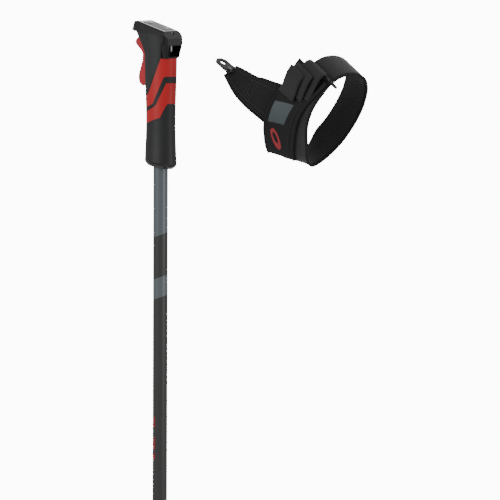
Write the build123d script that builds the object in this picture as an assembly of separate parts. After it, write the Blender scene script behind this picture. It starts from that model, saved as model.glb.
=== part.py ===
from build123d import *
import math
import os

# Ski pole with a trigger-release grip and its detached wrist strap.
# Millimetres. Origin at the end of the tip, +Z up the shaft, -X the trigger side.

os.makedirs("parts", exist_ok=True)

# Shaft and tip
shaft_radius = 8.0
shaft_wall = 1.2
shaft_low_radius = 6.6
shaft_bottom = 70.0
shaft_taper_end = 330.0
shaft_top = 1122.0
tip_radius = 4.0
tip_shoulder = 16.0
tip_stud_radius = 3.0
tip_height = 30.0
ferrule_bottom = 16.6
ferrule_top = 122.0
ferrule_low_radius = 5.6
ferrule_top_radius = 8.6
basket_height = 58.0
basket_radius = 38.0
basket_hub_radius = 13.0
basket_bore = 8.4
basket_windows = 5
lock_ring_height = 4.0

# Grip body: height, centre offset, half length in X, half width in Y
grip_sections = [
    (1034.0, 0.0, 18.7, 14.3),
    (1052.0, 0.0, 18.5, 14.1),
    (1082.0, 0.0, 17.4, 13.0),
    (1110.0, 0.0, 17.6, 13.2),
    (1136.0, 0.0, 18.6, 13.6),
    (1160.0, 0.0, 19.0, 14.2),
    (1176.0, -0.6, 19.6, 14.7),
    (1192.0, -2.2, 21.4, 15.2),
]
skin_thickness = 2.4
rim_height = 1048.5
rim_tilt = 10.0
end_ring_depth = 5.5

# Head: cap, housing and mouth
head_half_width = 15.0
cap_back = 19.0
cap_skirt_bottom = 1175.5
cap_skirt_wall = 2.3
cap_under_front = 1189.9
cap_under_slope = -0.119
housing_front = 9.0
housing_bottom = 1160.6
housing_back = 18.8
mouth_front = 5.5
mouth_bottom = 1162.3
mouth_top = 1174.2
mouth_half_width = 10.8
cavity_half_width = 6.6
cavity_floor = 1176.9

# Trigger and latch
pivot_x = -8.0
pivot_z = 1180.5
pivot_radius = 1.5
pivot_play = 0.06
pivot_length = 26.4
trigger_half_width = 6.0
latch_x = 13.0
latch_radius = 1.8
latch_play = 0.05
latch_tip_z = 1167.6
latch_flange_z = 1181.0
latch_flange_radius = 3.0
latch_flange_height = 1.4
fork_half_gap = 2.4
spring_radius = 2.3
spring_wire = 0.35
spring_turns = 4
spring_pocket_radius = 3.5
spring_pocket_top = 1188.6

# Strap: tongue
tongue_hole = (82.0, 0.0, 1158.0)
tongue_tilt = 36.0
tongue_thickness = 2.2
tongue_half_width = 9.6
tongue_nose = 7.0
tongue_tail = 17.0
hole_half_length = 3.7
hole_half_width = 4.2
rivet_radius = 1.6
rivet_spacing = 10.0

# Strap: band, drawn in its own plane with X the long way and Z across the band
strap_centre = (193.0, 33.0, 1110.0)
strap_long_axis = (0.505, 0.091, 0.858)
strap_across_axis = (0.839, -0.285, -0.464)
band_line = [
    (56.0, 6.0), (54.0, -9.0), (39.0, -22.0), (15.0, -29.0), (-15.0, -28.0),
    (-40.0, -20.0), (-58.0, -7.0), (-56.0, 5.0), (-40.0, 18.0), (-18.0, 33.0),
    (5.0, 39.5), (30.0, 36.5), (47.0, 25.0),
]
band_corners = 72
band_thickness = 3.4
band_half_width = 20.0
panel_thickness = 2.6
panel_left = -38.0
panel_right = 18.0
patch_thickness = 0.6
badge_radius = 8.0
webbing_thickness = 3.0
webbing_half_width = 17.0
ring_wire = 1.5
ring_half_length = 23.0
ring_depth = 14.8


def place(plane, shape):
    return plane.location * shape


def save(shape, name):
    export_step(shape, "parts/" + name + ".step")


def box_between(low, high):
    size = [high[i] - low[i] for i in range(3)]
    middle = [(high[i] + low[i]) / 2 for i in range(3)]
    return Pos(*middle) * Box(*size)


def cylinder_up(radius, low, high, x=0.0, y=0.0):
    return Pos(x, y, (low + high) / 2) * Cylinder(radius, high - low)


def turned(points):
    outline = make_face(Polyline(*[(r, 0, z) for r, z in points], close=True))
    return revolve(outline, Axis.Z)


def side_shape(points, half_width):
    outline = make_face(Polyline(*[(x, 0, z) for x, z in points], close=True))
    return extrude(outline, half_width, both=True)


# ---- pole and tip

def make_shaft():
    inner = shaft_radius - shaft_wall
    low_inner = shaft_low_radius - shaft_wall
    return turned([
        (low_inner, shaft_bottom), (shaft_low_radius, shaft_bottom),
        (shaft_radius, shaft_taper_end), (shaft_radius, shaft_top),
        (inner, shaft_top), (inner, shaft_taper_end),
    ])


def shaft_envelope():
    return turned([
        (0, shaft_bottom), (shaft_low_radius, shaft_bottom),
        (shaft_radius, shaft_taper_end), (shaft_radius, shaft_top), (0, shaft_top),
    ])


def make_tip():
    cup = 1.2
    return turned([
        (0, cup), (tip_radius - cup, 0), (tip_radius, 0), (tip_radius, tip_shoulder),
        (tip_stud_radius, tip_shoulder), (tip_stud_radius, tip_height), (0, tip_height),
    ])


def make_ferrule():
    seat = basket_height
    body = turned([
        (0, ferrule_bottom), (ferrule_low_radius, ferrule_bottom),
        (basket_bore - 0.6, seat - 8), (basket_bore - 0.05, seat - 1),
        (basket_bore - 0.05, seat + 14), (ferrule_top_radius, ferrule_top), (0, ferrule_top),
    ])
    return body - make_tip() - shaft_envelope()


def make_basket():
    rise = 7.0
    sheet = 2.4
    rim = 4.0
    dish = turned([
        (basket_bore, basket_height), (basket_hub_radius, basket_height),
        (basket_radius - rim, basket_height - rise), (basket_radius, basket_height - rise),
        (basket_radius, basket_height - rise + rim), (basket_radius - rim, basket_height - rise + rim),
        (basket_hub_radius, basket_height + sheet), (basket_hub_radius, basket_height + 5),
        (basket_bore, basket_height + 5),
    ])
    middle = (basket_hub_radius + basket_radius - rim) / 2
    window = Pos(middle + 1, 0, basket_height - 2) * Box(13, 19, 30)
    window = fillet(window.edges().filter_by(Axis.Z), 5)
    for i in range(basket_windows):
        dish -= Rot(0, 0, i * 360 / basket_windows) * window
    return dish


def make_lock_ring():
    low = basket_height + 5
    return turned([
        (basket_bore, low), (basket_bore + 3.2, low),
        (basket_bore + 2.4, low + lock_ring_height), (basket_bore, low + lock_ring_height),
    ])


# ---- grip body

def grip_loft(shrink):
    rings = Sketch()
    for z, x, half_x, half_y in grip_sections:
        rings += Pos(x, 0, z) * Ellipse(half_x - shrink, half_y - shrink)
    return loft(rings)


def rim_plane():
    tilt = math.radians(rim_tilt)
    return Plane(origin=(0, 0, rim_height), z_dir=(math.sin(tilt), 0, math.cos(tilt)))


def cap_under(x):
    return cap_under_front + cap_under_slope * (x + 29)


def head_space():
    """Everything above the grip body: cap, skirt and housing."""
    top = side_shape([
        (-40, cap_under(-40)), (40, cap_under(40)), (40, 1230), (-40, 1230),
    ], 40)
    skirt = box_between((cap_back - cap_skirt_wall, -40, cap_skirt_bottom), (60, 40, 1200))
    housing = box_between((housing_front, -40, housing_bottom), (60, 40, cap_skirt_bottom))
    return top + skirt + housing


def below_rim():
    return place(rim_plane(), Pos(0, 0, -50) * Box(120, 120, 100))


def trigger_cavity():
    front = box_between((-45, -cavity_half_width, 1127), (-8, cavity_half_width, 1200))
    back = box_between((-9, -cavity_half_width, cavity_floor), (cap_back - cap_skirt_wall,
                       cavity_half_width, 1200))
    hub = box_between((-9, -cavity_half_width, 1172), (2, cavity_half_width, 1178))
    return front + back + hub


def pivot_bore(radius):
    return Pos(pivot_x, 0, pivot_z) * Rot(90, 0, 0) * Cylinder(radius, 60)


def band_upper_shape():
    return side_shape([
        (-30, 1119.5), (-13.5, 1120), (-8.5, 1121.5), (-2.5, 1133), (3.5, 1147), (9, 1161),
        (9, 1170), (40, 1170), (40, 1140.5), (12.5, 1141), (10.9, 1139), (5.5, 1126), (-0.5, 1113),
        (-2, 1111), (-15, 1106), (-30, 1106),
    ], 40)


def band_lower_shape():
    return side_shape([
        (-30, 1101.5), (-13, 1102), (-0.5, 1107.5), (3, 1110.5), (9.5, 1124), (13.8, 1134),
        (40, 1133), (40, 1111.2), (14.7, 1111.6), (13.4, 1110), (7.3, 1096.5), (3.5, 1095.5),
        (-10, 1090.5), (-15.5, 1088), (-30, 1087.5),
    ], 40)


def panel_shape():
    return side_shape([
        (-50, 1126), (-15, 1124), (-12.5, 1121.5), (-10.2, 1123), (-2.8, 1139), (3.2, 1156),
        (8, 1173), (12, 1183.2), (14, 1190), (14, 1215), (-50, 1215),
    ], 40)


def flare():
    """The rubber that widens forward under the cap, beside the trigger."""
    side = side_shape([
        (-14, 1166), (-17, 1174), (-21, 1181), (-28.5, 1188), (-29, 1192), (0, 1192), (0, 1166),
    ], head_half_width)
    low = Pos(-12, 0, 1166) * Ellipse(8, 11)
    high = Pos(-14, 0, 1190) * Ellipse(16.5, 14.4)
    return side & loft(Sketch() + [low, high])


def make_skin():
    skin = (grip_loft(0) + flare()) - grip_loft(skin_thickness) - below_rim() - head_space()
    return skin - trigger_cavity() - pivot_bore(pivot_radius)


def make_core():
    core = grip_loft(skin_thickness) - below_rim() - head_space()
    core -= cylinder_up(shaft_radius, 1000, shaft_top)
    core -= trigger_cavity()
    core -= pivot_bore(pivot_radius)
    core -= mouth_space()
    return core - cylinder_up(latch_radius + latch_play, 1160, 1180, latch_x)


def make_end_ring():
    upper = grip_sections[1]
    top = Ellipse(upper[2] + 0.4, upper[3] + 0.4)
    waist = Pos(0, 0, -2.5) * Ellipse(upper[2] - 0.2, upper[3] - 0.2)
    low = Pos(0, 0, -end_ring_depth) * Ellipse(15.0, 11.8)
    body = loft(Sketch() + [top, waist, low], ruled=True)
    return place(rim_plane(), body) - cylinder_up(shaft_radius, 1000, 1100)


# ---- head

def cap_plan():
    corner = 1.6
    points = [
        (-33, -8), (-26, -14), (-18, -head_half_width), (cap_back - corner, -head_half_width),
        (cap_back, corner - head_half_width),
    ]
    points += [(x, -y) for x, y in reversed(points)]
    return extrude(Pos(0, 0, 1150) * make_face(Polyline(*points, close=True)), 80)


def plate_plane():
    return Plane(origin=(-3.0, 0, 1194.9), x_dir=(0.958, 0, -0.287), z_dir=(0.287, 0, 0.958))


def make_cap():
    back_wall = cap_back - cap_skirt_wall
    slab = side_shape([
        (-33, cap_under(-33)), (-32.6, 1191.4), (-24.5, 1200.5), (-21.7, 1200.5),
        (13, 1190.1), (cap_back, 1182), (cap_back, cap_skirt_bottom),
        (back_wall, cap_skirt_bottom), (back_wall, cap_under(back_wall)),
    ], head_half_width)
    cap = slab & cap_plan()
    for side in (-1, 1):
        edge = Pos(0, side * head_half_width, 0) * Rot(45, 0, 0) * Box(120, 3, 3)
        cap -= place(plate_plane(), edge)
    cap -= cylinder_up(spring_pocket_radius, 1180, spring_pocket_top, latch_x)
    pocket = place(plate_plane(), Box(30, 20, 2.4))
    return cap - pocket - cap_screws_space()


def make_cap_plate():
    plate = Box(29.4, 19.4, 1.4)
    plate = fillet(plate.edges().filter_by(Axis.Z), 2)
    return place(plate_plane(), Pos(0, 0, -0.5) * plate) - cap_screws_space()


def cap_screw(spacing):
    shank = Pos(spacing, 0, -3) * Cylinder(1.2, 6)
    head = Pos(spacing, 0, 0.3) * Cylinder(2.3, 0.8)
    return place(plate_plane(), shank + head)


def cap_screws_space():
    return cap_screw(-10.5) + cap_screw(10.5)


def make_cap_screws():
    slot = 0.7
    screws = []
    for spacing in (-10.5, 10.5):
        cut = place(plate_plane(), Pos(spacing, 0, 0.6) * Box(slot, 6, 0.6))
        screws.append(cap_screw(spacing) - cut)
    return Compound(children=screws)


def mouth_space():
    mouth = box_between((mouth_front, -mouth_half_width, mouth_bottom),
                        (40, mouth_half_width, mouth_top))
    return fillet(mouth.edges().filter_by(Axis.X), 1.5)


def make_housing():
    middle = (housing_front + housing_back) / 2
    length = housing_back - housing_front
    low = Pos(middle - 1.1, 0, housing_bottom) * RectangleRounded(length - 2.2, 24.0, 2.2)
    high = Pos(middle, 0, cap_skirt_bottom) * RectangleRounded(length, 29.4, 2.2)
    body = loft(Sketch() + [low, high]) - mouth_space()
    return body - cylinder_up(latch_radius + latch_play, 1160, 1180, latch_x)


# ---- trigger and latch

def make_trigger():
    face = Spline(
        (-22, 1183.6), (-26.7, 1182.2), (-29.7, 1177.8), (-24.8, 1171), (-20.4, 1165),
        (-20.4, 1159), (-22.8, 1150), (-25.4, 1140), (-24, 1133.5), (-19.4, 1130.2),
    )
    inner = Polyline(
        (-19.4, 1130.2), (-15.6, 1131.5), (-14.6, 1150), (-13, 1169), (-8, 1175.6), (4, 1177.6),
        (15.8, 1177.6), (15.8, 1180.4), (4, 1180.4), (-3, 1184.2), (-12, 1185.4), (-22, 1183.6),
    )
    outline = make_face(face + inner)
    body = extrude(Plane.XZ * outline, trigger_half_width, both=True)
    fork = box_between((latch_x - 5, -fork_half_gap, 1160), (latch_x + 9, fork_half_gap, 1190))
    return body - fork - pivot_bore(pivot_radius + pivot_play)


def make_trigger_pin():
    return Pos(pivot_x, 0, pivot_z) * Rot(90, 0, 0) * Cylinder(pivot_radius, pivot_length)


def make_latch():
    flange_top = latch_flange_z + latch_flange_height
    pin = cylinder_up(latch_radius, latch_tip_z, flange_top, latch_x)
    pin = chamfer(pin.edges().sort_by(Axis.Z)[0], 0.5)
    return pin + cylinder_up(latch_flange_radius, latch_flange_z, flange_top, latch_x)


def make_latch_spring():
    low = latch_flange_z + latch_flange_height + spring_wire + 0.05
    high = spring_pocket_top - spring_wire - 0.05
    path = Helix((high - low) / spring_turns, high - low, spring_radius)
    section = Plane(origin=path @ 0, z_dir=path % 0) * Circle(spring_wire)
    return Pos(latch_x, 0, low) * sweep(section, path, is_frenet=True)


# ---- strap

def tongue_plane():
    tilt = math.radians(tongue_tilt)
    return Plane(origin=tongue_hole, x_dir=(-math.cos(tilt), 0, math.sin(tilt)),
                 z_dir=(math.sin(tilt), 0, math.cos(tilt)))


def make_tongue():
    wide = tongue_half_width
    outline = Polyline(
        (tongue_nose, -4), (tongue_nose - 4, -wide), (-9, -wide), (-tongue_tail, -wide + 2),
        (-tongue_tail, wide - 2), (-9, wide), (tongue_nose - 4, wide), (tongue_nose, 4), close=True,
    )
    plate = extrude(make_face(outline), tongue_thickness / 2, both=True)
    plate = fillet(plate.edges().filter_by(Axis.Z), 1.4)
    plate -= extrude(Ellipse(hole_half_length, hole_half_width), 10, both=True)
    for side in (-1, 1):
        plate -= rivet_blank(side)
    return place(tongue_plane(), plate)


def rivet_blank(side):
    return Pos(-13, side * rivet_spacing / 2, 0) * Cylinder(rivet_radius, 9)


def make_rivets():
    rivets = []
    for side in (-1, 1):
        spot = Pos(-13, side * rivet_spacing / 2, 0)
        body = rivet_blank(side) & Box(60, 60, 5.6)
        body += spot * Pos(0, 0, 3.1) * Cylinder(rivet_radius + 1, 0.6)
        rivets.append(place(tongue_plane(), body))
    return Compound(children=rivets)


def strap_plane():
    return Plane(origin=strap_centre, x_dir=strap_long_axis, z_dir=strap_across_axis)


def band_face(grow):
    line = Spline(*band_line, periodic=True)
    corners = []
    for i in range(band_corners):
        spot = line @ (i / band_corners)
        along = line % (i / band_corners)
        corners.append((spot.X - grow * along.Y, spot.Y + grow * along.X))
    return make_face(Polyline(*corners, close=True))


def layer(inside, outside, low, high):
    face = band_face(outside) - band_face(inside)
    return Pos(0, 0, low) * extrude(face, high - low)


def make_band():
    inner = -band_thickness
    return place(strap_plane(), layer(inner, 0, -band_half_width, band_half_width))


def near_side(left, right, low, high):
    """A block that keeps only the near side of the loop."""
    points = [(left, -4), (right, 12), (right, 80), (left, 80)]
    face = make_face(Polyline(*points, close=True))
    return Pos(0, 0, low) * extrude(face, high - low)


def make_panel():
    ring = layer(0, panel_thickness, panel_left, panel_right)
    return place(strap_plane(), ring & near_side(-66, 34, panel_left, panel_right))


def make_patch():
    start = panel_thickness
    ring = layer(start, start + patch_thickness, -34, -8)
    return place(strap_plane(), ring & near_side(-40, -14, -34, -8))


def make_badge():
    start = panel_thickness
    ring = layer(start, start + patch_thickness / 2, -36, -8)
    disc = Pos(-50, 30, -24) * Rot(90, 0, 0) * Cylinder(badge_radius, 60)
    return place(strap_plane(), ring & disc)


def make_wedge():
    root = place(tongue_plane(), Pos(-11.3, 0, 0) * Rot(0, 90, 0) * Rectangle(5.0, 17))
    middle_plane = Plane(origin=(126, 0, 1127), x_dir=(-0.2, -0.68, 0.7), z_dir=(0.81, 0.1, -0.57))
    middle = middle_plane * Rectangle(34, 4.5)
    chord = Plane(origin=(-12, 40.5, panel_left + 4), x_dir=(0.93, 0.36, 0), z_dir=(0, 0, 1))
    end = place(strap_plane(), place(chord, Rectangle(56, 3.0)))
    wedge = loft(Sketch() + [root, middle, end])
    for side in (-1, 1):
        wedge -= place(tongue_plane(), rivet_blank(side))
    return wedge - make_tongue() - make_panel()


def make_webbing():
    start = panel_thickness + 0.1
    path = Polyline((1, 46.5), (24, 49), (36, 47), (43, 43.5), (45.5, 38), (43.5, 33))
    line = trace(path, webbing_thickness)
    shape = extrude(line, 2 * webbing_half_width)
    shape = Pos(0, 0, -webbing_half_width) * shape
    keep = Pos(0, 0, -60) * extrude(band_face(start), 120)
    return place(strap_plane(), shape - keep)


def make_wire_ring():
    frame = Plane(origin=(38.5, 30.8, 0), x_dir=(0, 0, 1), z_dir=(0.914, -0.406, 0))
    path = RectangleRounded(2 * ring_half_length, ring_depth, 4).wire()
    path = place(frame, path)
    section = Plane(origin=path @ 0, z_dir=path % 0) * Circle(ring_wire)
    return place(strap_plane(), sweep(section, path, transition=Transition.RIGHT))


# ---- all the pieces

def split_skin():
    skin = make_skin()
    upper_red = band_upper_shape()
    lower_red = band_lower_shape()
    panels = panel_shape()
    right = skin & panels & box_between((-60, 0, 1000), (60, 60, 1300))
    left = skin & panels & box_between((-60, -60, 1000), (60, 0, 1300))
    black = (skin - upper_red - lower_red - panels).solids().sort_by(lambda s: s.center().Z)
    names = ["grip_lower", "grip_stripe", "panel_trim"]
    pieces = dict(zip(names, black))
    pieces["red_band_upper"] = skin & upper_red
    pieces["red_band_lower"] = skin & lower_red
    pieces["side_panel_left"] = left
    pieces["side_panel_right"] = right
    return pieces


for piece_name, piece in split_skin().items():
    save(piece, piece_name)

save(make_shaft(), "shaft")
save(make_tip(), "tip")
save(make_ferrule(), "ferrule")
save(make_basket(), "basket")
save(make_lock_ring(), "basket_lock_ring")
save(make_core(), "grip_core")
save(make_end_ring(), "grip_end_ring")
save(make_cap(), "cap")
save(make_cap_plate(), "cap_plate")
save(make_cap_screws(), "cap_screws")
save(make_housing(), "strap_housing")
save(make_trigger(), "trigger")
save(make_trigger_pin(), "trigger_pin")
save(make_latch(), "latch")
save(make_latch_spring(), "latch_spring")
save(make_tongue(), "strap_tongue")
save(make_rivets(), "tongue_rivets")
save(make_wedge(), "strap_wedge")
save(make_band(), "strap_band")
save(make_panel(), "hand_panel")
save(make_patch(), "strap_patch")
save(make_badge(), "strap_badge")
save(make_webbing(), "webbing_fold")
save(make_wire_ring(), "wire_ring")
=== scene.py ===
import bpy
import math
import numpy as np
from mathutils import Matrix, Vector


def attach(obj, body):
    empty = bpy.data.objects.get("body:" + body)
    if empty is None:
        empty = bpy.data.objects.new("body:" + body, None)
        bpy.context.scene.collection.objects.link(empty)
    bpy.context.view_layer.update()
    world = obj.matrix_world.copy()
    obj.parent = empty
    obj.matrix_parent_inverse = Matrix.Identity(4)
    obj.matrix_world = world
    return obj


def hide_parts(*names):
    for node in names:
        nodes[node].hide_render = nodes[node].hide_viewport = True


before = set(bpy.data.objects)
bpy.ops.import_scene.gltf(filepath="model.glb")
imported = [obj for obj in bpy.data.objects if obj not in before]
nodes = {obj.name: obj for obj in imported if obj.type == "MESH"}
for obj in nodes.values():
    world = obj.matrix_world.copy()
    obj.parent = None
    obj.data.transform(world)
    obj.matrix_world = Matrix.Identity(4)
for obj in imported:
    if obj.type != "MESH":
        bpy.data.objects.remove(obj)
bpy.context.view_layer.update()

MM = 0.001

# ---------------------------------------------------------------- camera

VIEW_AZIMUTH = math.radians(35.0)
VIEW_HEIGHT = math.radians(5.0)
VIEW_ROLL = math.radians(0.24)
VIEW_DISTANCE = 6.0
VIEW_WIDTH = 0.5405
AIM_RIGHT = 0.0971
AIM_UP = 0.9489

right = Vector((math.cos(VIEW_AZIMUTH), math.sin(VIEW_AZIMUTH), 0))
back = Vector((
    math.sin(VIEW_AZIMUTH) * math.cos(VIEW_HEIGHT),
    -math.cos(VIEW_AZIMUTH) * math.cos(VIEW_HEIGHT),
    math.sin(VIEW_HEIGHT),
))
up = back.cross(right)


def make_camera():
    data = bpy.data.cameras.new("camera")
    camera = bpy.data.objects.new("camera", data)
    bpy.context.scene.collection.objects.link(camera)
    data.sensor_width = 36.0
    data.lens = 36.0 * VIEW_DISTANCE / VIEW_WIDTH
    data.clip_end = 50.0
    turn = Matrix((right, up, back)).transposed() @ Matrix.Rotation(VIEW_ROLL, 3, "Z")
    place = right * AIM_RIGHT + up * AIM_UP + back * (VIEW_DISTANCE + 0.1)
    camera.matrix_world = Matrix.Translation(place) @ turn.to_4x4()
    bpy.context.scene.camera = camera


# ---------------------------------------------------------------- materials

class Graph:
    """A small helper that adds shader nodes to one material."""

    def __init__(self, name):
        self.material = bpy.data.materials.new(name)
        self.material.use_nodes = True
        self.tree = self.material.node_tree
        self.shader = self.tree.nodes["Principled BSDF"]
        self.place = self.add("ShaderNodeTexCoord").outputs["Object"]

    def add(self, kind, **values):
        node = self.tree.nodes.new(kind)
        for key, value in values.items():
            setattr(node, key, value)
        return node

    def link(self, source, target):
        self.tree.links.new(source, target)

    def put(self, socket, value):
        if hasattr(value, "links"):
            self.link(value, socket)
        else:
            socket.default_value = value

    def math(self, operation, *values):
        node = self.add("ShaderNodeMath", operation=operation)
        for socket, value in zip(node.inputs, values):
            self.put(socket, value)
        return node.outputs[0]

    def noise(self, scale, detail=4.0, stretch=(1, 1, 1)):
        mapping = self.add("ShaderNodeMapping")
        mapping.inputs["Scale"].default_value = stretch
        self.link(self.place, mapping.inputs["Vector"])
        node = self.add("ShaderNodeTexNoise")
        node.inputs["Scale"].default_value = scale
        node.inputs["Detail"].default_value = detail
        self.link(mapping.outputs[0], node.inputs["Vector"])
        return node.outputs["Fac"]

    def mix(self, amount, first, second):
        node = self.add("ShaderNodeMix", data_type="RGBA")
        self.put(node.inputs["Factor"], amount)
        self.put(node.inputs["A"], first)
        self.put(node.inputs["B"], second)
        return node.outputs["Result"]

    def spread(self, value, low, high):
        node = self.add("ShaderNodeMapRange")
        node.inputs["From Min"].default_value = 0.3
        node.inputs["From Max"].default_value = 0.7
        node.inputs["To Min"].default_value = low
        node.inputs["To Max"].default_value = high
        self.link(value, node.inputs["Value"])
        return node.outputs[0]

    def bump(self, height, strength, distance):
        node = self.add("ShaderNodeBump")
        node.inputs["Strength"].default_value = strength
        node.inputs["Distance"].default_value = distance
        self.link(height, node.inputs["Height"])
        self.link(node.outputs[0], self.shader.inputs["Normal"])


def colour(red, green, blue):
    """A colour given as it looks on a screen, 0 to 255."""
    return tuple((c / 255.0) ** 2.2 for c in (red, green, blue)) + (1.0,)


def surface(name, base, rough, grain=900.0, bump=0.1, depth=0.0001, metal=0.0, vary=0.18, coat=0.0):
    """A plain worked surface: slight change of tone, of roughness and fine relief."""
    g = Graph(name)
    broad = g.noise(35.0)
    fine = g.noise(grain)
    darker = tuple(c * (1 - vary) for c in base[:3]) + (1.0,)
    lighter = tuple(min(1.0, c * (1 + vary)) for c in base[:3]) + (1.0,)
    g.link(g.mix(broad, darker, lighter), g.shader.inputs["Base Color"])
    g.link(g.spread(fine, rough * 0.88, min(1.0, rough * 1.12)), g.shader.inputs["Roughness"])
    g.shader.inputs["Metallic"].default_value = metal
    g.shader.inputs["Coat Weight"].default_value = coat
    g.bump(fine, bump, depth)
    return g.material


# Heights of the paint edges and of the plain red bars on the shaft, in metres.
PAINT_EDGES = (0.9691, 0.9232, 0.9012)
RED_BARS = ((0.7615, 0.7725), (0.7375, 0.7500), (0.7265, 0.7330))


def shaft_material():
    """Satin grey paint with dark fields that end in slanted edges, and small red bars."""
    g = Graph("shaft_paint")
    axes = g.add("ShaderNodeSeparateXYZ")
    g.link(g.place, axes.inputs[0])
    x, y, z = axes.outputs
    side = g.math("ADD", g.math("MULTIPLY", x, 0.82), g.math("MULTIPLY", y, 0.57))
    height = g.math("SUBTRACT", z, g.math("MULTIPLY", side, 0.36))
    first, second, third = [g.math("LESS_THAN", height, edge) for edge in PAINT_EDGES]
    fine = g.noise(1400.0)
    broad = g.noise(14.0, stretch=(1, 1, 0.3))
    grey = g.mix(broad, colour(88, 95, 99), colour(100, 107, 111))
    dark = g.mix(broad, colour(56, 56, 55), colour(66, 66, 65))
    paint = g.mix(first, grey, dark)
    paint = g.mix(second, paint, grey)
    paint = g.mix(third, paint, dark)
    outward = g.math("GREATER_THAN", g.math("MULTIPLY", side, -1.0), 0.0052)
    bars = g.math("MULTIPLY", z, 0)
    for low, high in RED_BARS:
        window = g.math("MULTIPLY", g.math("GREATER_THAN", height, low),
                        g.math("LESS_THAN", height, high))
        bars = g.math("MAXIMUM", bars, window)
    paint = g.mix(g.math("MULTIPLY", bars, outward), paint, colour(150, 40, 44))
    g.link(paint, g.shader.inputs["Base Color"])
    g.link(g.spread(fine, 0.33, 0.42), g.shader.inputs["Roughness"])
    g.shader.inputs["Metallic"].default_value = 0.35
    g.bump(fine, 0.05, 0.00005)
    return g.material


def weave_material(name, base, light, across, along, relief=0.0003, rough=0.85):
    """Ribbed webbing, drawn in the mesh's own flat coordinates, in metres."""
    g = Graph(name)
    flat = g.add("ShaderNodeUVMap").outputs[0]
    axes = g.add("ShaderNodeSeparateXYZ")
    g.link(flat, axes.inputs[0])
    u, v = axes.outputs[0], axes.outputs[1]
    ribs = g.math("SINE", g.math("MULTIPLY", u, along * 2 * math.pi))
    rows = g.math("SINE", g.math("MULTIPLY", v, across * 2 * math.pi))
    knots = g.math("MULTIPLY_ADD", g.math("MULTIPLY", ribs, rows), 0.5, 0.5)
    fuzz = g.noise(2500.0)
    broad = g.noise(40.0)
    tone = g.mix(knots, base, light)
    dim = tuple(c * 0.7 for c in base[:3]) + (1.0,)
    g.link(g.mix(g.spread(broad, 0.0, 0.5), tone, dim), g.shader.inputs["Base Color"])
    g.link(g.spread(fuzz, rough * 0.92, rough), g.shader.inputs["Roughness"])
    g.shader.inputs["Sheen Weight"].default_value = 0.15
    g.bump(g.math("ADD", knots, g.math("MULTIPLY", fuzz, 0.4)), 0.6, relief)
    return g.material


RUBBER = surface("grip_rubber", colour(24, 25, 25), 0.5, 1500.0, 0.25, 0.0001)
RED = surface("red_rubber", colour(178, 14, 18), 0.42, 1500.0, 0.15, 0.0001, vary=0.08)
PANEL = surface("panel_rubber", colour(38, 40, 40), 0.6, 1300.0, 0.35, 0.00015)
GLOSS = surface("gloss_black", colour(9, 9, 10), 0.22, 700.0, 0.04, 0.00005, coat=0.3)
HOUSING = surface("housing_black", colour(9, 9, 10), 0.35, 900.0, 0.08, 0.00005)
MATTE = surface("matte_black", colour(40, 40, 41), 0.55, 1100.0, 0.2, 0.0001)
PLATE = surface("plate_grey", colour(70, 72, 73), 0.5, 1200.0, 0.05, 0.00005)
STEEL = surface("steel", colour(150, 150, 152), 0.32, 1600.0, 0.1, 0.00005, metal=1.0)
TRIGGER = surface("trigger_red", colour(178, 10, 30), 0.35, 900.0, 0.08, 0.00005, vary=0.07, coat=0.2)
TONGUE = surface("tongue_plastic", colour(12, 13, 14), 0.6, 1000.0, 0.15, 0.0001)
RING = surface("ring_black", colour(14, 14, 15), 0.4, 900.0, 0.05, 0.00005)
FABRIC = surface("strap_fabric", colour(14, 14, 15), 0.85, 2200.0, 0.6, 0.0003)
PATCH = surface("patch_grey", colour(66, 74, 77), 0.6, 1800.0, 0.4, 0.0001, vary=0.08)
PRINT = surface("print_red", colour(150, 38, 46), 0.6, 1800.0, 0.4, 0.0001, vary=0.12)
BINDING = surface("edge_binding", colour(18, 18, 19), 0.8, 2600.0, 0.9, 0.0006)
THREAD = surface("thread", colour(64, 64, 66), 0.7, 2600.0, 0.4, 0.0001)
WEBBING = weave_material("webbing", colour(14, 14, 15), colour(38, 38, 39), 260.0, 260.0)
SHAFT = shaft_material()

CAD_LOOKS = {
    "shaft": SHAFT, "tip": STEEL, "ferrule": MATTE, "basket": MATTE, "basket_lock_ring": MATTE,
    "grip_core": MATTE, "grip_lower": RUBBER, "grip_stripe": RUBBER, "panel_trim": RUBBER,
    "red_band_upper": RED, "red_band_lower": RED,
    "side_panel_left": PANEL, "side_panel_right": PANEL, "grip_end_ring": GLOSS, "cap": GLOSS,
    "cap_plate": PLATE, "cap_screws": STEEL, "strap_housing": HOUSING, "trigger_pin": RING,
    "latch_spring": STEEL, "trigger": TRIGGER, "latch": STEEL, "strap_tongue": TONGUE,
    "tongue_rivets": RING, "strap_wedge": FABRIC, "strap_band": WEBBING, "hand_panel": FABRIC,
    "strap_patch": PATCH, "strap_badge": PRINT, "webbing_fold": WEBBING, "wire_ring": RING,
}


def dress_cad():
    for name, node in nodes.items():
        node.data.materials.clear()
        node.data.materials.append(CAD_LOOKS[name])


# ---------------------------------------------------------------- strap

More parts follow.
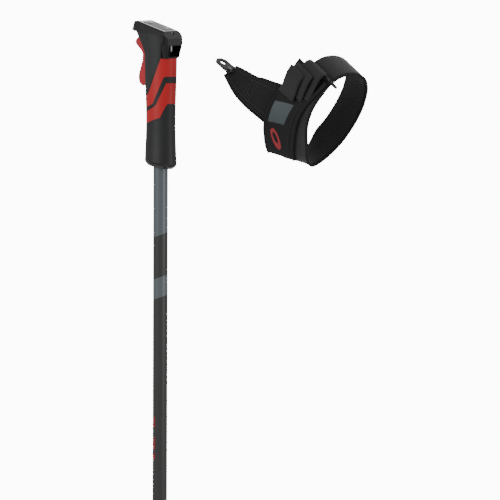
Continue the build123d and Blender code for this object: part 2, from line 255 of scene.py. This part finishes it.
CENTRE = Vector((193.0, 33.0, 1110.0)) * MM
ACROSS = Vector((0.839, -0.285, -0.464)).normalized()
LONG = Vector((0.505, 0.091, 0.858))
LONG = (LONG - ACROSS * LONG.dot(ACROSS)).normalized()
SIDE = ACROSS.cross(LONG)
BAND_LINE = [
    (56.5, 8.0), (55.5, -5.0), (50.5, -14.0), (38.6, -22.5), (15.0, -29.0), (-15.0, -28.0),
    (-40.0, -20.0), (-58.0, -7.0), (-56.0, 5.0), (-40.0, 18.0), (-18.0, 33.0),
    (5.0, 39.5), (30.0, 36.5), (43.0, 31.5), (52.0, 22.0),
]
FLARE = 20.0
BAND_HALF_WIDTH = 20.0
BAND_THICKNESS = 3.0
BINDING_RISE = 1.6
DECAL_TOP = 3.6
DECAL_BOTTOM = 2.4
LEFT_RIM = -32.0
RIGHT_RIM = 18.0


def ease(t):
    t = min(1.0, max(0.0, t))
    return t * t * (3 - 2 * t)


def flare(x, y, z):
    """How far the loop's left rim spreads outward, low on the near side and round the foot."""
    share = min(1.0, max(0.0, (z - LEFT_RIM) / (RIGHT_RIM - LEFT_RIM)))
    reach = ease((10 - x) / 50) if y > -2 else ease((-x - 30) / 28)
    return FLARE * reach * (1 - share) ** 1.2


def in_strap(x, y, z):
    """A point of the strap's own plane, in millimetres, as a place in the row frame."""
    return CENTRE + (LONG * x + SIDE * y + ACROSS * z) * MM


def smooth_line(points, steps, closed=False):
    """Evenly spaced points on a curve through the given ones."""
    dims = len(points[0])
    p = np.array(points, float)
    if closed:
        p = np.vstack([p[-1], p, p[0], p[1]])
    else:
        p = np.vstack([2 * p[0] - p[1], p, 2 * p[-1] - p[-2]])
    dense = []
    for i in range(1, len(p) - 2):
        for t in np.linspace(0, 1, 24, endpoint=False):
            a, b, c, d = p[i - 1], p[i], p[i + 1], p[i + 2]
            dense.append(0.5 * (2 * b + (c - a) * t + (2 * a - 5 * b + 4 * c - d) * t ** 2
                                + (3 * b - a - 3 * c + d) * t ** 3))
    dense.append(p[-2])
    dense = np.array(dense)
    run = np.r_[0, np.cumsum(np.linalg.norm(np.diff(dense, axis=0), axis=1))]
    want = np.linspace(0, run[-1], steps + (1 if closed else 0))
    want = want[:steps] if closed else want
    return np.stack([np.interp(want, run, dense[:, k]) for k in range(dims)], 1)


def outward_of(line, closed=False):
    """Normals of a plane line, pointing out of the loop when it follows BAND_LINE's order."""
    if closed:
        along = np.roll(line, -1, 0) - np.roll(line, 1, 0)
    else:
        along = np.gradient(line, axis=0)
    along /= np.linalg.norm(along, axis=1)[:, None]
    return np.stack([-along[:, 1], along[:, 0]], 1)


def mesh_piece(name, points, faces, material, uv):
    data = bpy.data.meshes.new(name)
    data.from_pydata([tuple(p) for p in points], [], faces)
    data.validate()
    for polygon in data.polygons:
        polygon.use_smooth = True
    layer = data.uv_layers.new(name="UVMap")
    for loop in data.loops:
        layer.data[loop.index].uv = uv[loop.vertex_index]
    piece = bpy.data.objects.new(name, data)
    bpy.context.scene.collection.objects.link(piece)
    data.materials.append(material)
    smooth = piece.modifiers.new("smooth", "SUBSURF")
    smooth.levels = 1
    smooth.render_levels = 1
    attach(piece, "strap")
    return piece


def slab(name, outer, inner, flat, material, closed=False):
    """A thin strip between two grids of points, closed on every edge."""
    rows, cols = len(outer), len(outer[0])
    points = [p for row in outer for p in row] + [p for row in inner for p in row]
    uv = [f for row in flat for f in row] * 2
    half = rows * cols
    faces = []
    span = rows if closed else rows - 1
    for i in range(span):
        k = (i + 1) % rows
        for j in range(cols - 1):
            a, b, c, d = i * cols + j, i * cols + j + 1, k * cols + j + 1, k * cols + j
            faces.append((a, b, c, d))
            faces.append((half + d, half + c, half + b, half + a))
        for a, b in ((i * cols, k * cols), (k * cols + cols - 1, i * cols + cols - 1)):
            faces.append((a, b, half + b, half + a))
    if not closed:
        for j in range(cols - 1):
            faces.append((j + 1, j, half + j, half + j + 1))
            last = (rows - 1) * cols
            faces.append((last + j, last + j + 1, half + last + j + 1, half + last + j))
    return mesh_piece(name, points, faces, material, uv)


def strip(name, line, low, high, rise, thick, material, closed=False, cols=9, crown=0.0):
    """Cloth that follows a plane line; low and high give its two edges along the line."""
    normals = outward_of(line, closed)
    rows = len(line)
    outer, inner, flat = [], [], []
    run = 0.0
    for i in range(rows):
        t = i / (rows - 1)
        a, b = low(t), high(t)
        top, under, plan = [], [], []
        if i:
            run += float(np.linalg.norm(line[i] - line[i - 1]))
        for j in range(cols):
            s = j / (cols - 1)
            z = a + (b - a) * s
            edge = 1 - abs(2 * s - 1) ** 4
            lift = rise
            lift += crown * edge + flare(line[i][0], line[i][1], z)
            spot = line[i] + normals[i] * (lift + thick)
            deep = line[i] + normals[i] * lift
            top.append(in_strap(spot[0], spot[1], z))
            under.append(in_strap(deep[0], deep[1], z))
            plan.append((run * MM, z * MM))
        outer.append(top)
        inner.append(under)
        flat.append(plan)
    return slab(name, outer, inner, flat, material, closed)


def tube(name, points, radius, material):
    data = bpy.data.curves.new(name, "CURVE")
    data.dimensions = "3D"
    data.bevel_depth = radius
    data.bevel_resolution = 3
    data.use_fill_caps = True
    spline = data.splines.new("POLY")
    spline.points.add(len(points) - 1)
    for i, p in enumerate(points):
        spline.points[i].co = (*p, 1.0)
    piece = bpy.data.objects.new(name, data)
    bpy.context.scene.collection.objects.link(piece)
    data.materials.append(material)
    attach(piece, "strap")


def dashes(name, points, length, gap, radius):
    """A row of stitches along a line, as one piece."""
    p = np.array([tuple(q) for q in points])
    run = np.r_[0, np.cumsum(np.linalg.norm(np.diff(p, axis=0), axis=1))]
    data = bpy.data.curves.new(name, "CURVE")
    data.dimensions = "3D"
    data.bevel_depth = radius
    data.bevel_resolution = 1
    start = 0.0
    while start + length < run[-1]:
        spline = data.splines.new("POLY")
        spline.points.add(1)
        for i, s in enumerate((start, start + length)):
            at = [np.interp(s, run, p[:, k]) for k in range(3)]
            spline.points[i].co = (*at, 1.0)
        start += length + gap
    piece = bpy.data.objects.new(name, data)
    bpy.context.scene.collection.objects.link(piece)
    data.materials.append(THREAD)
    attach(piece, "strap")


LOOP = smooth_line(BAND_LINE, 720, True)


def near_line(high, low, steps=44):
    """The near side of the loop, from its foot at low up to high, in BAND_LINE's order."""
    part = [tuple(q) for q in LOOP if q[1] > -7 and low <= q[0] <= high]
    return smooth_line(part[::8] + [part[-1]], steps)


def on_loop(x, z, rise):
    """The near side's outer face at the long-way value x, raised by rise, in the row frame."""
    near = [k for k in range(720) if LOOP[k][1] > 0]
    k = min(near, key=lambda n: abs(LOOP[n][0] - x))
    along = LOOP[(k + 2) % 720] - LOOP[k - 2]
    along /= np.linalg.norm(along)
    spot = LOOP[k] + np.array([-along[1], along[0]]) * (rise + flare(LOOP[k][0], LOOP[k][1], z))
    return in_strap(spot[0], spot[1], z)


def make_band():
    loop = smooth_line(BAND_LINE, 96, True)
    piece = strip("strap_band_cloth", loop, lambda t: -BAND_HALF_WIDTH, lambda t: BAND_HALF_WIDTH,
                  -BAND_THICKNESS, BAND_THICKNESS, WEBBING, True, 11)
    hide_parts("strap_band")
    normals = outward_of(loop, True)
    for name, z in (("left", -17.0), ("right", 17.0)):
        inner = [in_strap(*(q + n * (flare(q[0], q[1], z) - 3.1)), z) for q, n in zip(loop, normals)]
        dashes("band_stitch_" + name, inner, 0.0026, 0.0012, 0.00025)
    rim = [in_strap(*(q + n * (flare(q[0], q[1], 19.5) - 1.5)), 19.5) for q, n in zip(loop, normals)]
    tube("band_edge_right", rim + [rim[0]], 0.0017, FABRIC)


def panel_left(t):
    return -29.0 - 5.0 * t


def panel_right(t):
    return 2.0 + 6.0 * ease(t * 1.6) + 9.0 * ease(t * 2.0 - 1.0)


def make_hand_panel():
    line = near_line(36.0, -57.5)
    piece = strip("hand_panel_pad", line, panel_left, panel_right, 0.1, 2.6, FABRIC,
                  crown=0.9)
    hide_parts("hand_panel")
    normals = outward_of(line)
    steps = [i / (len(line) - 1) for i in range(len(line))]
    for name, edge, thick in (
        ("panel_binding_right", panel_right, 0.0023),
        ("panel_binding_left", panel_left, 0.0017),
    ):
        rim = []
        for t, q, n in zip(steps, line, normals):
            lift = BINDING_RISE + flare(q[0], q[1], edge(t))
            rim.append(in_strap(*(q + n * lift), edge(t)))
        tube(name, rim, thick, BINDING)
    seam = []
    for t, q, n in zip(steps, line, normals):
        z = panel_right(t) - 5.0
        seam.append(in_strap(*(q + n * (3.5 + flare(q[0], q[1], z))), z))
    dashes("panel_stitch_right", seam, 0.0026, 0.0013, 0.00028)


def decal(name, corners, material, thick, round_share=0.0):
    """A thin piece on the panel; corners hold (x, z) and round_share 1 makes it an oval."""
    cols = 13
    outer, inner, flat = [], [], []
    for i in range(cols):
        row, under, plan = [], [], []
        for j in range(cols):
            a, b = 2 * i / (cols - 1) - 1, 2 * j / (cols - 1) - 1
            ra, rb = a * math.sqrt(1 - b * b / 2), b * math.sqrt(1 - a * a / 2)
            a, b = a + (ra - a) * round_share, b + (rb - b) * round_share
            t, s = (a + 1) / 2, (b + 1) / 2
            x, z = [
                (corners[0][k] * (1 - s) + corners[1][k] * s) * (1 - t)
                + (corners[3][k] * (1 - s) + corners[2][k] * s) * t for k in (0, 1)
            ]
            row.append(on_loop(x, z, DECAL_TOP + thick))
            under.append(on_loop(x, z, DECAL_BOTTOM))
            plan.append((x * MM, z * MM))
        outer.append(row)
        inner.append(under)
        flat.append(plan)
    return slab(name, outer, inner, flat, material)


def make_patch():
    corners = [(-10.8, -28.0), (-3.0, -2.0), (-25.4, -6.0), (-28.5, -26.0)]
    piece = decal("grey_patch", corners, PATCH, 0.25)
    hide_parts("strap_patch")


def make_badge():
    corners = [(-31.5, -24.0), (-32.0, -13.5), (-53.5, -7.0), (-52.5, -18.0)]
    piece = decal("red_mark", corners, PRINT, 0.1, 1.0)
    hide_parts("strap_badge")
    inside = [(-35.5, -20.5), (-36.0, -15.5), (-47.5, -11.5), (-47.0, -16.0)]
    decal("red_mark_middle", inside, FABRIC, 0.25, 1.0)


def make_wedge():
    """The sewn fabric that widens from the tongue to the hand panel."""
    top = [
        Vector((93.2, 9.2, 1153.6)), Vector((107.1, 7.8, 1148.9)), Vector((122.6, 5.7, 1143.2)),
        Vector((132.0, 4.0, 1142.0)), Vector((142.5, 1.5, 1140.0)),
    ]
    top = [p * MM for p in top] + [on_loop(2, -33.5, 2.0)]
    low = [
        Vector((89.5, -7.5, 1146.5)), Vector((99.4, -3.0, 1126.8)), Vector((114.4, -2.5, 1112.9)),
        Vector((128.9, -2.6, 1103.5)),
    ]
    low = [p * MM for p in low] + [on_loop(-31.5, -28.0, 2.0)]
    steps, cols = 22, 9
    a = smooth_line([tuple(p) for p in top], steps)
    b = smooth_line([tuple(p) for p in low], steps)
    outer, inner, flat = [], [], []
    for i in range(steps):
        t = i / (steps - 1)
        row, under, plan = [], [], []
        for j in range(cols):
            s = j / (cols - 1)
            bulge = 3.0 * math.sin(math.pi * s) * math.sin(math.pi * min(1.0, 0.25 + t * 0.75))
            p = Vector(a[i]) * (1 - s) + Vector(b[i]) * s + back * bulge * MM
            deep = 2.0 if j in (0, cols - 1) else 3.4
            row.append(p + back * 0.8 * MM)
            under.append(p - back * deep * MM)
            plan.append((t * 0.07, s * 0.05))
        outer.append(row)
        inner.append(under)
        flat.append(plan)
    piece = slab("wedge_cloth", outer, inner, flat, FABRIC)
    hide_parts("strap_wedge")
    for k, s in enumerate((0.06, 0.16, 0.84, 0.94)):
        j = s * (cols - 1)
        lo, part = int(j), j - int(j)
        line = [r[lo] * (1 - part) + r[lo + 1] * part + back * 0.5 * MM for r in outer[1:-1]]
        dashes("wedge_stitch_%d" % k, line, 0.0026, 0.0013, 0.00025)
    for k, i in enumerate((9, 10, 11, 12)):
        line = [p + back * 0.5 * MM for p in outer[i][1:-1]]
        dashes("wedge_tack_%d" % k, line, 0.0022, 0.0005, 0.0003)
    tube("wedge_edge_top", [Vector(p) for p in a], 0.0016, FABRIC)
    tube("wedge_edge_low", [Vector(p) for p in b], 0.0016, FABRIC)


def make_fold():
    """The end of the webbing: over the ring's bar and folded back down on the panel."""
    layers = (
        ("webbing_fold_outer", [(30, 48.5), (22, 49.5), (11, 47.5), (-1, 44.2)], -29.0, -3.0, 2.2),
        ("webbing_fold_middle", [(35, 45.5), (28, 47.0), (17, 45.8), (4, 42.6)], -25.0, 6.0, 2.0),
        ("webbing_fold_inner", [(43.5, 36.5), (40.5, 41.5), (33, 43.0), (22, 42.6), (9, 41.6)],
         -20.0, 14.0, 1.8),
    )
    for name, line, low, high, thick in layers:
        path = smooth_line(line[::-1], 30)
        piece = strip(name, path, lambda t: low, lambda t: high, 0.0, thick, WEBBING,
                      cols=9)
        if name == "webbing_fold_outer":
            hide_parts("webbing_fold")


# ---------------------------------------------------------------- stage

# The camera sees a white backdrop, while the pieces are lit by a much dimmer room.
BACKDROP_GLOW = 12.0
ROOM_GLOW = 0.55
FLOOR_HALF_WIDTH = 1.0
LIGHT_DISTANCE = 2.0
LIGHT_AIM = Vector((0.09, 0.0, 1.05))


def stage_material(name, base, rough):
    g = Graph(name)
    g.link(g.mix(g.noise(3.0), base, tuple(c * 0.985 for c in base[:3]) + (1.0,)),
           g.shader.inputs["Base Color"])
    g.shader.inputs["Roughness"].default_value = rough
    return g.material


def make_stage():
    data = bpy.data.meshes.new("floor")
    half = FLOOR_HALF_WIDTH
    data.from_pydata([(-half, -half, 0), (half, -half, 0), (half, half, 0), (-half, half, 0)],
                     [], [(0, 1, 2, 3)])
    floor = bpy.data.objects.new("floor", data)
    bpy.context.scene.collection.objects.link(floor)
    data.materials.append(stage_material("floor_white", (0.9, 0.9, 0.9, 1.0), 0.8))
    for name, angle, height, size_x, size_y, power in (
        ("key_light", -20, 1.9, 0.7, 1.6, 22.0),
        ("side_light", 92, 1.5, 0.6, 1.6, 17.0),
        ("rear_light", 200, 2.0, 1.2, 1.2, 9.0),
    ):
        data = bpy.data.lights.new(name, "AREA")
        data.shape = "RECTANGLE"
        data.size = size_x
        data.size_y = size_y
        data.energy = power
        light = bpy.data.objects.new(name, data)
        bpy.context.scene.collection.objects.link(light)
        turn = math.radians(angle)
        spot = Vector((LIGHT_DISTANCE * math.sin(turn), -LIGHT_DISTANCE * math.cos(turn), height))
        light.location = spot
        light.rotation_euler = (LIGHT_AIM - spot).to_track_quat("-Z", "Y").to_euler()
    world = bpy.data.worlds.new("studio")
    bpy.context.scene.world = world
    world.use_nodes = True
    tree = world.node_tree
    tree.nodes["Background"].inputs["Color"].default_value = (1.0, 1.0, 1.0, 1.0)
    ray = tree.nodes.new("ShaderNodeLightPath")
    glow = tree.nodes.new("ShaderNodeMapRange")
    glow.inputs["To Min"].default_value = ROOM_GLOW
    glow.inputs["To Max"].default_value = BACKDROP_GLOW
    tree.links.new(ray.outputs["Is Camera Ray"], glow.inputs["Value"])
    tree.links.new(glow.outputs[0], tree.nodes["Background"].inputs["Strength"])


make_camera()
dress_cad()
make_band()
make_hand_panel()
make_patch()
make_badge()
make_wedge()
make_fold()
make_stage()
